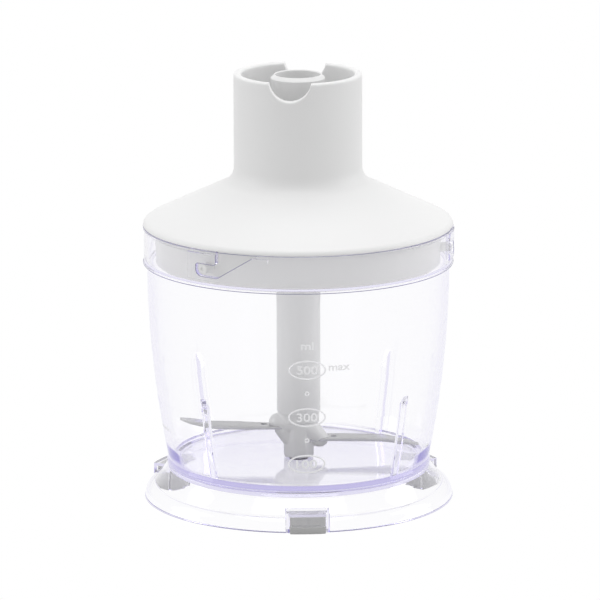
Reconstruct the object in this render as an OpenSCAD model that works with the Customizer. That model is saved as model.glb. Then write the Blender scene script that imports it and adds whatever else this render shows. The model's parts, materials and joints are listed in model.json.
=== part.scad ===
// Mini food processor (chopper bowl) for a stick motor unit.
// Lid with a motor collar and a planetary reduction, a clear bowl with a bayonet rim,
// a two-wing blade unit and a clear anti-slip base on rubber feet.
// Millimetres. Origin on the table under the bowl's axis, +Z up, front of the bowl towards -Y.

/* [Anti-slip base] */
// How far the base's lower edge stands out past the bowl's rim
base_flare = 0.2; // [0:0.1:4]
// Wall thickness of the base
base_wall = 1.8; // [1.2:0.1:2.5]
// Height of the bowl's seat above the table
seat_z = 14.6; // [12:0.1:18]
// Radius of the rounded shoulder over the skirt of the base
base_shoulder_r = 5.3; // [4:0.1:6]
// Height of the step that centres the bowl on the base
step_h = 0.6; // [0.3:0.1:0.7]

/* [Rubber feet] */
// Number of rubber feet
foot_count = 3; // [3:1:4]
// Width of one foot
foot_w = 15; // [10:0.5:18]
// Height of one foot
foot_h = 7.1; // [6:0.1:9]
// Radial depth of one foot
foot_depth = 7; // [4:0.5:9]
// Height of the foot's bare lip under the pocket wall
foot_lip_h = 3; // [2:0.1:4]
// How far the feet stand below the base's edge
foot_drop = 0.6; // [0.4:0.1:1.5]
// Wall of the pocket round each foot
pocket_wall = 1.5; // [1:0.1:2]

/* [Bowl] */
// Height of the bowl from its foot to the top of its rim
bowl_h = 103; // [84:1:130]
// Outer radius of the bowl's foot
bowl_foot_r = 55.6; // [46:0.1:70]
// How far the wall stands in from the foot
foot_inset = 0.5; // [0.3:0.1:0.8]
// How much wider the wall is under the rim band than just above the foot
bowl_flare = 8.4; // [7:0.1:12]
// Thickness of the bowl's wall
bowl_wall = 2; // [1.5:0.1:3]
// Thickness of the bowl's floor
floor_t = 1.6; // [1.2:0.1:2.5]
// Depth of the recess under the floor
foot_recess = 0.8; // [0.8:0.1:1.2]
// Height of the rim band
band_h = 16.2; // [15:0.1:18]
// How far the rim band stands out from the wall
band_step = 1.3; // [0.6:0.1:2]
// How far the bead on the rim stands out from the band
bead_out = 0.4; // [0.2:0.1:1]
// Height of the bead on the rim
bead_h = 1.2; // [0.8:0.1:2]
// Thickness of the rim band
rim_wall = 1.8; // [1.5:0.1:2.5]

/* [Inner ribs] */
// Number of upright ribs inside the bowl
rib_count = 4; // [3:1:6]
// Width of one rib
rib_w = 3; // [2:0.1:5]
// How far a rib stands in from the wall
rib_d = 1.8; // [1:0.1:2.5]
// Height of the ribs above the floor
rib_h = 37; // [20:1:45]

/* [Bayonet] */
// Radius of one bayonet pin
pin_r = 2.2; // [1.8:0.1:2.5]
// Depth of the pins' axis below the top of the rim
pin_depth = 8.3; // [7.5:0.1:9]
// Free room round a pin in its track
track_gap = 0.7; // [0.4:0.1:0.9]
// Turn of the lid from its locked place to the foot of the ramp, degrees
lock_turn = 7; // [5:0.5:8]
// Width of the track's mouth at the rim, degrees
mouth_turn = 17; // [14:0.5:20]
// Angle of the first pin from the bowl's front when locked, degrees
pin_angle = -41; // [-60:1:-20]

/* [Lid] */
// How far the lid's edge stands in from the bowl's rim
lid_inset = 0; // [0:0.1:0.4]
// Height from the rim to the foot of the collar
dome_rise = 19.7; // [17:0.1:26]
// Height of the lid's edge over the rim
edge_h = 1.4; // [1.2:0.1:1.8]
// Radius of the lid's rounded edge
edge_round = 3.3; // [3.0:0.1:3.6]
// Radius of the fillet at the foot of the collar
collar_fillet = 7.8; // [4:0.1:9]
// Wall thickness of the lid
lid_wall = 2.2; // [1.8:0.1:2.6]
// Gap between the lid's edge and the rim
lid_gap = 0.1; // [0:0.1:0.4]
// Gap between the skirt and the inside of the rim
skirt_gap = 3.3; // [2.6:0.1:4]
// Wall thickness of the skirt
skirt_wall = 2; // [1.5:0.1:2.5]
// Height of the skirt's plate above the foot of the rim band
skirt_up = 0.1; // [0:0.1:1]
// Angle of the lid's front notch from the bowl's front when locked, degrees
lid_angle = -11; // [-30:1:30]

/* [Motor collar] */
// Outer radius of the collar
collar_r = 26.9; // [25:0.1:30]
// Wall thickness of the collar
collar_wall = 3.3; // [2.5:0.1:4]
// Height of the collar above its foot
collar_h = 44.5; // [38:0.5:54]
// Depth of the socket in the collar
socket_depth = 33.8; // [28:0.1:36]
// Radius of the two notches in the collar's rim
notch_r = 8.9; // [6:0.1:10]
// Height of the notches' centre above the collar's rim
notch_up = 1.5; // [0:0.1:3]
// Outer radius of the tube in the middle of the socket
hub_r = 11.4; // [11:0.1:13]
// Wall thickness of that tube
hub_wall = 2; // [1.5:0.1:2.4]
// How far that tube ends below the collar's rim
hub_drop = 0.5; // [0:0.1:3]

/* [Gears] */
// Gear module
gear_m = 1; // [0.9:0.05:1.2]
// Teeth on the sun gear
sun_teeth = 12; // [12:3:15]
// Teeth on each planet gear
planet_teeth = 15; // [15:6:21]
// Width of the gears' faces
gear_w = 8; // [6:0.5:9]
// Pressure angle, degrees
pressure_angle = 25; // [24:1:26]
// Thinning of each tooth for backlash
backlash = 0.12; // [0.08:0.01:0.16]

/* [Shafts] */
// Wall of the sun gear between its bore and the roots of its teeth
sun_wall = 0.75; // [0.6:0.05:1.2]
// Radius of the output shaft
output_r = 5; // [4.2:0.1:6]
// Radius of the pins that carry the planets
planet_pin_r = 2; // [1.5:0.1:2.4]
// Radius of the pivot pin in the bowl's floor
pivot_r = 2; // [1.6:0.1:2.4]
// Radial clearance of a shaft in its bush
run_gap = 0.05; // [0.03:0.01:0.08]

/* [Blade unit] */
// Outer radius of the blade column
column_r = 9.2; // [8.5:0.1:10]
// Gap between the hub's upper lobe and the foot of the column
column_gap = 1; // [0.5:0.1:4]
// Wall of the hub's eight-sided stem round its bush
stem_wall = 2.1; // [1.9:0.1:3]
// Height of the lower blade above the bowl's floor
lower_blade_up = 8; // [7:0.1:10]
// Height of the upper blade above the lower one
blade_rise = 5.4; // [4:0.1:8]
// Gap between the blades' tips and the foot of the inner ribs
blade_gap = 0.3; // [0.3:0.1:12]
// Width of a blade near the hub
blade_w = 9; // [6:0.5:10]
// Thickness of a blade
blade_t = 1.2; // [0.8:0.1:1.6]
// Sweep of a blade's tip, degrees
blade_sweep = 10; // [0:1:20]
// Rise or fall of a blade's bent tip
tip_bend = 1.6; // [0.5:0.1:2.5]
// Turn of the blades from the side-to-side line, degrees
blade_angle = 0; // [-90:5:90]

/* [Hidden] */
$fn = 96;
eps = 0.01;

// Levels of the bowl
floor_under = seat_z + foot_recess;
floor_z = floor_under + floor_t;
rim_z = seat_z + bowl_h;
band_z = rim_z - band_h;
low_z = floor_z + 1;
bead_z = floor_under + 1.2;

// Radii of the wall and the rim band
bowl_low_r = bowl_foot_r - foot_inset;
bowl_top_r = bowl_low_r + bowl_flare;
band_r = bowl_top_r + band_step;
bead_r = band_r + bead_out;
rim_in_r = band_r - rim_wall;

// Radii that follow the rim
base_r = bead_r + base_flare;
lid_r = bead_r - lid_inset;
skirt_r = rim_in_r - skirt_gap;

// The wall's outline is one arc, upright under the band
wall_drop = band_z - low_z;
wall_in = bowl_top_r - bowl_low_r;
wall_arc_r = (wall_drop * wall_drop + wall_in * wall_in) / (2 * wall_in);
function wall_r(z) = bowl_top_r - wall_arc_r + sqrt(pow(wall_arc_r, 2) - pow(band_z - z, 2));

// Levels and slope of the lid
lid_bottom = rim_z + lid_gap;
collar_foot = rim_z + dome_rise;
collar_top = collar_foot + collar_h;
socket_z = collar_top - socket_depth;
socket_floor_t = 2;
hub_top = collar_top - hub_drop;
dome_angle = atan((dome_rise - edge_h) / (lid_r - collar_r));
function dome_z(r) = collar_foot - (r - collar_r) * tan(dome_angle);
function dome_under(r) = dome_z(r) - lid_wall / cos(dome_angle);
collar_in = collar_r - collar_wall;
hub_in = hub_r - hub_wall;
hub_foot_r = hub_r + 0.4;
coupling_z = socket_z + 2;
coupling_h = 14;

// Levels of the gearbox, counted up from the skirt's plate
plate_z = band_z + skirt_up;
plate_t = 1.8;
seal_h = 3.2;
cover_z = plate_z + plate_t + 3.7;
cover_t = 2.5;
housing_z = cover_z + cover_t;
carrier_z = housing_z + 5;
carrier_t = 3.5;
gear_z = carrier_z + carrier_t + 1;
housing_top = gear_z + gear_w + 3.5;

// Gear train
ring_teeth = sun_teeth + 2 * planet_teeth;
input_r = gear_m * (sun_teeth / 2 - 1.25) - sun_wall;
orbit_r = gear_m * (sun_teeth + planet_teeth) / 2;
ring_root_r = gear_m * (ring_teeth / 2 + 1.25);
ring_out_r = ring_root_r + 2.75;
housing_wall = 1.6;
housing_r = ring_out_r + housing_wall;
carrier_r = orbit_r + 5.5;

// Fastening posts round the gearbox
post_count = 3;
post_orbit = housing_r + 6.4;
post_r = 3.6;
screw_r = 1.4;
screw_head_r = 2.8;
screw_head_h = 2;
screw_l = 20;

// Bushes and driver
bush_wall = 2.5;
seal_r = output_r + 3;
driver_across = 2 * (output_r - 1);
driver_l = 14;
driver_fit = 0.1;

// Blade unit
hub_bore_r = pivot_r + 2.2;
boss_r = hub_bore_r - 0.3;
boss_h = 4;
bush_z = floor_z + boss_h + 1;
bush_l = 9;
stem_r = hub_bore_r + stem_wall;
stem_foot = floor_z + 0.4;
lower_z = floor_z + lower_blade_up;
upper_z = lower_z + blade_rise;
lobe_reach = stem_r + 6.5;
lobe_top = 5.5;
column_foot = upper_z + lobe_top + column_gap;
column_top = plate_z - 0.3;
blade_root = hub_bore_r + 0.4;
blade_reach = bowl_low_r - bowl_wall - rib_d - blade_gap;
blade_hole_r = 1.25;

// Bayonet track
pin_reach = band_r - 0.2;
track_low = pin_depth + pin_r + track_gap;
tooth_low = pin_depth - pin_r - 0.3;
deg = 180 / PI;
pin_deg = asin(pin_r / band_r);
gap_deg = asin(track_gap / band_r);

// A point on the rim's tangent plane: a turn from the slot's middle and a depth below the rim
function rim_pt(turn, mid, depth) = [band_r * sin(turn - mid), -depth];
function arc_pts(c, r, from, to, n) =
    [for (i = [0 : n]) [c.x + r * cos(from + (to - from) * i / n), c.y + r * sin(from + (to - from) * i / n)]];

// ---- shared helpers ----

// Places a copy of its children at each of n equal turns
module ring_of(n, start = 0) {
    for (i = [0 : n - 1]) rotate([0, 0, start + 360 * i / n]) children();
}

module tube(r_out, r_in, z, h) {
    translate([0, 0, z]) difference() {
        cylinder(r = r_out, h = h);
        translate([0, 0, -1]) cylinder(r = r_in, h = h + 2);
    }
}

// Turns lid parts to their place when the lid is locked
module on_lid() {
    rotate([0, 0, lid_angle]) children();
}

// ---- anti-slip base ----

shoulder_c = [base_r - base_shoulder_r - 0.7, foot_drop + 1.4];
seat_edge_r = bowl_foot_r - 0.7;
cone_top = [bowl_foot_r + 0.6, seat_z - 1.4];
step_r = bowl_foot_r - 3.6;

// Outline of the base, w inside its outer face
function base_outline(w) = concat(
    [[base_r - w, foot_drop]],
    arc_pts(shoulder_c, base_shoulder_r - w, 7, 75, 8),
    [[cone_top.x - w * 0.8, cone_top.y - w * 0.6]]);

// The foot's block behind the pocket wall, and its lip under that wall: side is the room
// left on each side, low the level it starts at and out how far its lip passes the base's edge
module foot_block(side, low, out) {
    intersection() {
        union() {
            translate([0, 0, -2]) cylinder(r = base_r + out, h = 2 + foot_lip_h);
            translate([0, 0, -2]) cylinder(r = base_r - pocket_wall, h = 3 + foot_h);
        }
        translate([-foot_w / 2 - side, -base_r - 2, low])
            cube([foot_w + 2 * side, foot_depth + pocket_wall + 2, foot_h - low]);
    }
}

module anti_slip_base() {
    foot_side = 0.15;
    pocket_top = foot_h + pocket_wall;
    pocket_w = foot_w + 2 * pocket_wall;
    color("lavender") difference() {
        union() {
            rotate_extrude() polygon(concat(
                base_outline(0),
                [[seat_edge_r, seat_z], [step_r, seat_z], [step_r, seat_z + step_h], [0, seat_z + step_h]],
                [[0, seat_z - base_wall], [cone_top.x - base_wall * 1.4, seat_z - base_wall - 0.4]],
                [for (i = [len(base_outline(base_wall)) - 2 : -1 : 0]) base_outline(base_wall)[i]]));
            ring_of(foot_count) intersection() {
                translate([0, 0, foot_drop]) cylinder(r = base_r, h = pocket_top - foot_drop);
                translate([-pocket_w / 2, -base_r - 1, 0])
                    cube([pocket_w, foot_depth + 2 * pocket_wall + 1, pocket_top]);
            }
        }
        ring_of(foot_count) foot_block(foot_side, -1, 1);
    }
}

module rubber_feet() {
    color("darkgray") ring_of(foot_count) foot_block(0, 0, 0);
}

// ---- bowl ----

wall_steps = 12;

// Outline of the bowl's wall, w inside its outer face, from the floor up to the band
function wall_line(w) =
    [for (i = [0 : wall_steps]) let (z = low_z + wall_drop * i / wall_steps) [wall_r(z) - w, z]];

// Outline of the bayonet track on the rim's tangent plane: pocket, hanging tooth, mouth and ramp
track_left = -pin_deg - gap_deg;
track_mid = (track_left + lock_turn + mouth_turn) / 2;
tooth_right = lock_turn - 0.7;
ramp_right = tooth_right + mouth_turn;
track_pocket = concat(
    arc_pts(rim_pt(0, track_mid, pin_depth), pin_r + track_gap, 270, 180, 6),
    [rim_pt(track_left, track_mid, tooth_low + 0.6), rim_pt(track_left + 0.6, track_mid, tooth_low)],
    [rim_pt(tooth_right - 0.6, track_mid, tooth_low), rim_pt(tooth_right, track_mid, tooth_low - 0.6)],
    [rim_pt(tooth_right, track_mid, -1), rim_pt(ramp_right + 1.3, track_mid, -1)],
    [rim_pt(lock_turn, track_mid, track_low)]);

// Cuts one track through the rim, with a straight pull
module track_cut() {
    rotate([0, 0, track_mid]) translate([0, -rim_in_r + 4, rim_z]) rotate([90, 0, 0])
        linear_extrude(height = rim_wall + bead_out + 8) polygon(track_pocket);
}

// Raised pad round one track
module track_pad() {
    pad = 1.5;
    pad_left = track_left - 4.2;
    intersection() {
        tube(bead_r - 0.1, rim_in_r + 0.5, band_z + 1, band_h - 1 - bead_h / 2);
        rotate([0, 0, track_mid]) translate([0, -rim_in_r + 4, rim_z]) rotate([90, 0, 0])
            linear_extrude(height = rim_wall + bead_out + 8) polygon([
                rim_pt(pad_left, track_mid, 0), rim_pt(pad_left, track_mid, track_low + pad),
                rim_pt(lock_turn + 1, track_mid, track_low + pad),
                rim_pt(ramp_right + 3.4, track_mid, 2 * pad), rim_pt(ramp_right + 3.4, track_mid, 0)]);
    }
}

module bowl() {
    color("lavender", 0.4) difference() {
        union() {
            rotate_extrude() polygon(concat(
                [[0, floor_under], [bowl_foot_r - 3.2, floor_under], [bowl_foot_r - 3.2, seat_z]],
                [[bowl_foot_r - 0.8, seat_z], [bowl_foot_r, seat_z + 0.8], [bowl_foot_r, bead_z]],
                wall_line(0),
                [[band_r - 0.5, band_z], [band_r, band_z + 0.5]],
                [[band_r, rim_z - bead_h - bead_out], [bead_r, rim_z - bead_h], [bead_r, rim_z - 0.4]],
                [[bead_r - 0.4, rim_z], [rim_in_r + 0.3, rim_z], [rim_in_r, rim_z - 0.3]],
                [[rim_in_r, band_z + bowl_wall], [bowl_top_r - bowl_wall, band_z + bowl_wall - 1]],
                [for (i = [wall_steps : -1 : 1]) wall_line(bowl_wall)[i]],
                [[bowl_low_r - bowl_wall - 0.6, floor_z + 0.8], [bowl_low_r - bowl_wall - 2.2, floor_z]],
                [[0, floor_z]]));
            ring_of(rib_count, 180 / rib_count) intersection() {
                rotate_extrude() polygon(concat(
                    [[bowl_low_r - bowl_wall - rib_d, floor_z - 0.5]],
                    [for (i = [0 : wall_steps]) let (z = floor_z + rib_h * i / wall_steps)
                        [wall_r(z + 1) - bowl_wall / 2, z]],
                    [for (i = [wall_steps : -1 : 1]) let (z = floor_z + (rib_h - 4) * i / wall_steps)
                        [wall_r(z + 1) - bowl_wall - rib_d, z]]));
                translate([-rib_w / 2, -bowl_top_r, 0]) cube([rib_w, bowl_top_r, rim_z]);
            }
            ring_of(3, pin_angle) track_pad();
            translate([0, 0, floor_z - 0.5]) cylinder(r = boss_r, h = boss_h + 0.5);
        }
        ring_of(3, pin_angle) track_cut();
        translate([0, 0, floor_under + 0.6]) cylinder(r = pivot_r, h = boss_h + floor_t);
    }
}

module pivot_pin() {
    color("silver") translate([0, 0, floor_under + 0.6]) {
        pin_l = bush_z + bush_l - floor_under - 3;
        cylinder(r = pivot_r, h = pin_l - pivot_r);
        translate([0, 0, pin_l - pivot_r]) sphere(r = pivot_r);
    }
}

// ---- lid ----

edge_c = [lid_r - edge_round, dome_z(lid_r - edge_round) - edge_round / cos(dome_angle)];
edge_start = asin((lid_bottom - edge_c.y) / edge_round);
fillet_c = [collar_r + collar_fillet,
            collar_foot + collar_fillet * tan((90 - dome_angle) / 2)];
collar_round = 1.2;

module lid_shell() {
    rotate_extrude() polygon(concat(
        [[lid_r - lid_wall, lid_bottom]],
        arc_pts(edge_c, edge_round, edge_start, 90 - dome_angle, 8),
        arc_pts(fillet_c, collar_fillet, 270 - dome_angle, 180, 8),
        arc_pts([collar_r - collar_round, collar_top - collar_round], collar_round, 0, 90, 4),
        arc_pts([collar_in + collar_round, collar_top - collar_round], collar_round, 90, 180, 4),
        [[collar_in, socket_z], [hub_foot_r, socket_z], [hub_foot_r, socket_z - socket_floor_t]],
        [[collar_in, socket_z - socket_floor_t], [collar_in, dome_under(collar_in)]],
        [[lid_r - lid_wall, dome_under(lid_r - lid_wall)]]));
}

module post_place() {
    ring_of(post_count, 60) translate([0, -post_orbit, 0]) children();
}

module lid_cover() {
    color("white") on_lid() difference() {
        union() {
            lid_shell();
            post_place() translate([0, 0, housing_z + 3]) cylinder(r = post_r, h = dome_z(post_orbit)
                - housing_z - 3 - (post_r + 0.6) * tan(dome_angle));
        }
        translate([0, 0, collar_top + notch_up]) rotate([90, 0, 0])
            cylinder(r = notch_r, h = 2 * collar_r + 2, center = true);
        post_place() translate([0, 0, housing_z]) cylinder(r = screw_r, h = 16);
    }
}

module lid_skirt() {
    color("whitesmoke") on_lid() difference() {
        union() {
            rotate_extrude() polygon([
                [seal_r + 2, plate_z], [skirt_r - 0.6, plate_z], [skirt_r, plate_z + 0.6],
                [skirt_r, dome_under(skirt_r)], [skirt_r - skirt_wall, dome_under(skirt_r - skirt_wall)],
                [skirt_r - skirt_wall, plate_z + plate_t], [seal_r + 2, plate_z + plate_t]]);
            tube(seal_r + 2 + eps, seal_r, plate_z, plate_t + seal_h);
            tube(seal_r + 1, output_r + 0.6, plate_z, plate_t);
            post_place() translate([0, 0, plate_z + plate_t / 2])
                cylinder(r = post_r + 1, h = cover_z - plate_z - plate_t / 2);
            ring_of(3, pin_angle - lid_angle) translate([0, -skirt_r + skirt_wall / 2, rim_z - pin_depth])
                rotate([90, 0, 0]) bayonet_pin();
        }
        post_place() translate([0, 0, plate_z - 1]) {
            cylinder(r = screw_head_r + 0.2, h = screw_head_h + 1.2);
            cylinder(r = screw_r + 0.1, h = cover_z - plate_z + 2);
        }
    }
}

// A round pin with a dimple in its end
module bayonet_pin() {
    pin_l = pin_reach - skirt_r + skirt_wall / 2;
    difference() {
        cylinder(r = pin_r, h = pin_l);
        translate([0, 0, pin_l - 0.5]) cylinder(r = pin_r * 0.4, h = 1);
    }
}

module hub_tube() {
    flange_z = socket_z - 2 * socket_floor_t;
    shoulder_z = coupling_z + coupling_h + 1;
    color("white") on_lid() rotate_extrude() polygon([
            [input_r + bush_wall, flange_z], [hub_r + 3, flange_z], [hub_r + 3, socket_z - socket_floor_t],
            [hub_foot_r, socket_z - socket_floor_t], [hub_foot_r, socket_z], [hub_r, socket_z],
            [hub_r, hub_top - 1.6], [hub_in + 0.4, hub_top],
            [hub_in, hub_top - 0.4], [hub_in, shoulder_z], [hub_in - 0.6, shoulder_z],
            [hub_in - 0.6, socket_z - socket_floor_t],
            [input_r + bush_wall, socket_z - socket_floor_t]]);
}

// A round body with an ear for each fastening post
module gearbox_ears(z, h, body_h) {
    difference() {
        union() {
            translate([0, 0, z]) cylinder(r = housing_r, h = body_h);
            post_place() translate([0, 0, z]) {
                cylinder(r = post_r, h = h);
                translate([-post_r, 0, 0]) cube([2 * post_r, post_orbit - housing_r + housing_wall / 2, h]);
            }
        }
        post_place() translate([0, 0, z - 1]) cylinder(r = screw_r + 0.1, h = h + 2);
    }
}

module gearbox_housing() {
    ceiling = housing_top - 1.8;
    color("gainsboro") on_lid() difference() {
        gearbox_ears(housing_z, 3, housing_top - housing_z);
        translate([0, 0, housing_z - 1]) cylinder(r = ring_out_r, h = ceiling - housing_z + 1);
        translate([0, 0, ceiling - 1]) cylinder(r = input_r + 0.6, h = 4);
    }
}

module gearbox_cover() {
    color("gainsboro") on_lid() difference() {
        gearbox_ears(cover_z, cover_t, cover_t);
        translate([0, 0, cover_z - 1]) cylinder(r = output_r + bush_wall, h = cover_t + 2);
    }
}

module upper_bush() {
    color("tan") tube(input_r + bush_wall, input_r + run_gap, socket_z - 2 * socket_floor_t - 1, 4);
}

module lower_bush() {
    color("tan") tube(output_r + bush_wall, output_r + run_gap, cover_z, carrier_z - cover_z - 1.4);
}

module shaft_seal() {
    color("dimgray") on_lid() union() {
        tube(seal_r, seal_r - 1.2, plate_z + plate_t, seal_h);
        tube(seal_r, output_r + run_gap, plate_z + plate_t, 1.2);
    }
}

module cover_screws() {
    color("silver") on_lid() post_place() difference() {
        union() {
            translate([0, 0, plate_z + 0.2]) cylinder(r = screw_head_r, h = screw_head_h);
            translate([0, 0, plate_z + 0.2 + screw_head_h - eps]) cylinder(r = screw_r, h = screw_l);
        }
        for (a = [0, 90]) rotate([0, 0, a])
            translate([-0.4, -1.6, plate_z - 0.8]) cube([0.8, 3.2, 2.2]);
    }
}

// ---- gears ----

function involute(a) = tan(a) * deg - a;
// Half the angle of a tooth at radius r
function tooth_half(teeth, r, slack) =
    let (pitch = gear_m * teeth / 2, base = pitch * cos(pressure_angle))
    90 / teeth - slack * deg / (2 * pitch) + involute(pressure_angle) - involute(acos(min(1, base / r)));

flank_steps = 4;

// Outline of a gear with one tooth centred on the X axis
function gear_outline(teeth, root, tip, slack) =
    let (base = gear_m * teeth * cos(pressure_angle) / 2, low = max(root, base))
    [for (k = [0 : teeth - 1], side = [-1, 1], i = [0 : flank_steps + 1])
        let (step = side < 0 ? i : flank_steps + 1 - i,
             r = step == 0 ? root : low + (tip - low) * (step - 1) / flank_steps,
             a = 360 * k / teeth + side * tooth_half(teeth, max(r, low), slack))
        if (step > 0 || root < low) [r * cos(a), r * sin(a)]];

module spur_gear(teeth) {
    pitch = gear_m * teeth / 2;
    linear_extrude(height = gear_w) polygon(
        gear_outline(teeth, pitch - 1.25 * gear_m, pitch + gear_m, backlash / 2));
}

module ring_gear() {
    pitch = gear_m * ring_teeth / 2;
    color("ivory") on_lid() difference() {
        translate([0, 0, gear_z - 0.5]) cylinder(r = ring_out_r, h = gear_w + 1);
        translate([0, 0, gear_z - 1]) linear_extrude(height = gear_w + 2) polygon(
            gear_outline(ring_teeth, pitch - 0.9 * gear_m, ring_root_r, -backlash / 2));
    }
}

module sun_gear() {
    color("ivory") on_lid() translate([0, 0, gear_z]) difference() {
        spur_gear(sun_teeth);
        translate([0, 0, -1]) cylinder(r = input_r, h = gear_w + 2);
    }
}

module planet_gear(i) {
    color("ivory") on_lid() rotate([0, 0, 120 * i]) translate([orbit_r, 0, gear_z]) difference() {
        spur_gear(planet_teeth);
        translate([0, 0, -1]) cylinder(r = planet_pin_r + run_gap, h = gear_w + 2);
    }
}

module planet_gear_1() { planet_gear(0); }
module planet_gear_2() { planet_gear(1); }
module planet_gear_3() { planet_gear(2); }

// ---- input side ----

module input_shaft() {
    color("silver") translate([0, 0, gear_z]) cylinder(r = input_r, h = coupling_z + coupling_h - 2 - gear_z);
}

// Four-winged coupling that the motor unit's driver fits over
module input_coupling() {
    wing_r = hub_in - 1.6;
    color("gainsboro") on_lid() translate([0, 0, coupling_z]) difference() {
        union() {
            cylinder(r = input_r + 1.4, h = coupling_h);
            for (a = [0, 90]) rotate([0, 0, a]) intersection() {
                cylinder(r = wing_r, h = coupling_h - 1);
                translate([-wing_r, -1.1, 0]) cube([2 * wing_r, 2.2, coupling_h]);
            }
        }
        translate([0, 0, -1]) cylinder(r = input_r, h = coupling_h - 1);
    }
}

// ---- output side ----

module planet_carrier() {
    color("gainsboro") on_lid() translate([0, 0, carrier_z]) difference() {
        union() {
            cylinder(r = carrier_r, h = carrier_t);
            for (i = [0 : 2]) rotate([0, 0, 120 * i]) translate([orbit_r, 0, 0])
                cylinder(r = planet_pin_r + 1.6, h = carrier_t + 0.7);
        }
        for (i = [0 : 2]) rotate([0, 0, 120 * i]) translate([orbit_r, 0, -1])
            cylinder(r = planet_pin_r, h = carrier_t + 3);
        translate([0, 0, -1]) cylinder(r = output_r, h = carrier_t - 0.5);
    }
}

module planet_pins() {
    color("silver") on_lid() for (i = [0 : 2]) rotate([0, 0, 120 * i])
        translate([orbit_r, 0, carrier_z]) cylinder(r = planet_pin_r, h = carrier_t + gear_w + 2.6);
}

module pin_clips() {
    color("silver") on_lid() for (i = [0 : 2]) rotate([0, 0, 120 * i])
        translate([orbit_r, 0, 0]) tube(planet_pin_r + 1.2, planet_pin_r, gear_z + gear_w + 0.3, 0.7);
}

module thrust_washer() {
    color("silver") tube(output_r + bush_wall, output_r, carrier_z - 1, 1);
}

module output_shaft() {
    color("silver") translate([0, 0, plate_z - 1])
        cylinder(r = output_r, h = carrier_z + carrier_t - 1.5 - plate_z + 1);
}

// Six-sided end of the output shaft that the blade column plugs on to
module output_driver() {
    color("gainsboro") on_lid() translate([0, 0, plate_z - driver_l])
        cylinder(r = driver_across / 2 / cos(30), h = driver_l - 1, $fn = 6);
}

module blade_column() {
    socket_h = driver_l + 1;
    color("lightgray") difference() {
        translate([0, 0, column_foot]) cylinder(r = column_r, h = column_top - column_foot);
        rotate([0, 0, lid_angle]) translate([0, 0, column_top - socket_h])
            cylinder(r = (driver_across + driver_fit) / 2 / cos(30), h = socket_h + 1, $fn = 6);
        translate([0, 0, column_top - 1.5]) cylinder(r = output_r + 0.5, h = 2);
        translate([0, 0, column_foot + 2])
            cylinder(r = column_r - 2, h = column_top - socket_h - column_foot - 4);
    }
}

lobe_h = 10;

// Rounded lobe of the hub over the root of one blade, standing on level z
module hub_lobe(z, reach) {
    round_r = 2.4;
    lobe_r = 7.4;
    translate([reach - lobe_r, 0, z]) rotate_extrude() polygon(concat(
        [[0, 0]],
        arc_pts([lobe_r - round_r, round_r], round_r, -90, 0, 5),
        arc_pts([lobe_r - round_r, lobe_h - round_r], round_r, 0, 90, 5),
        [[0, lobe_h]]));
}

module blade_hub() {
    color("silver") rotate([0, 0, blade_angle]) difference() {
        union() {
            translate([0, 0, stem_foot + 1]) cylinder(r = stem_r, h = column_foot - stem_foot - 1, $fn = 8);
            translate([0, 0, stem_foot]) cylinder(r = stem_r - 0.9, h = 1.5, $fn = 8);
            rotate([0, 0, 180]) hub_lobe(upper_z + lobe_top - lobe_h, lobe_reach);
            hub_lobe(lower_z + lobe_top + 1 - lobe_h, lobe_reach);
        }
        translate([0, 0, stem_foot - 1]) cylinder(r = hub_bore_r, h = bush_z + bush_l - stem_foot + 1);
        blade_slot(180, upper_z);
        blade_slot(0, lower_z);
    }
}

// Outline of a blade that points along +X and sweeps towards -Y
blade_steps = 10;
function blade_mid(t) = let (r = blade_root + (blade_reach - blade_root) * t, a = -blade_sweep * t * t)
    [r * cos(a), r * sin(a)];
function blade_half(t) = blade_w / 2 * (t < 0.55 ? 1 : sqrt(max(0, 1 - pow((t - 0.55) / 0.45, 2))));
function blade_outline() = concat(
    [for (i = [0 : blade_steps]) let (t = i / blade_steps) blade_mid(t) + [0, blade_half(t)]],
    [for (i = [blade_steps - 1 : -1 : 0]) let (t = i / blade_steps) blade_mid(t) - [0, blade_half(t)]]);

// The bent strip that a blade is cut from, seen from the side
module blade_strip(bend) {
    bend_x = blade_reach * 0.72;
    rotate([90, 0, 0]) linear_extrude(height = 4 * blade_w, center = true) polygon([
        [blade_root - 1, -blade_t / 2], [bend_x, -blade_t / 2],
        [blade_reach + 1, bend - blade_t / 2], [blade_reach + 1, bend + blade_t / 2],
        [bend_x, blade_t / 2], [blade_root - 1, blade_t / 2]]);
}

module blade(turn, z, bend) {
    rotate([0, 0, turn]) translate([0, 0, z]) difference() {
        intersection() {
            translate([0, 0, -10]) linear_extrude(height = 20) polygon(blade_outline());
            blade_strip(bend);
        }
        translate([blade_reach * 0.29, 0, -5]) cylinder(r = blade_hole_r, h = 10);
    }
}

// Room in the hub for a blade's root
module blade_slot(turn, z) {
    rotate([0, 0, turn]) translate([blade_root - eps, -blade_w / 2 - eps, z - blade_t / 2])
        cube([15, blade_w + 2 * eps, blade_t]);
}

module upper_blade() {
    color("gainsboro") rotate([0, 0, blade_angle]) blade(180, upper_z, tip_bend);
}

module lower_blade() {
    color("gainsboro") rotate([0, 0, blade_angle]) blade(0, lower_z, -tip_bend);
}

module blade_bush() {
    color("tan") tube(hub_bore_r, pivot_r + run_gap, bush_z, bush_l);
}

anti_slip_base();
rubber_feet();
bowl();
pivot_pin();
lid_cover();
lid_skirt();
hub_tube();
gearbox_housing();
gearbox_cover();
ring_gear();
upper_bush();
lower_bush();
shaft_seal();
cover_screws();
input_shaft();
sun_gear();
input_coupling();
planet_gear_1();
planet_gear_2();
planet_gear_3();
planet_carrier();
planet_pins();
pin_clips();
thrust_washer();
output_shaft();
output_driver();
blade_column();
blade_hub();
upper_blade();
lower_blade();
blade_bush();
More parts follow.
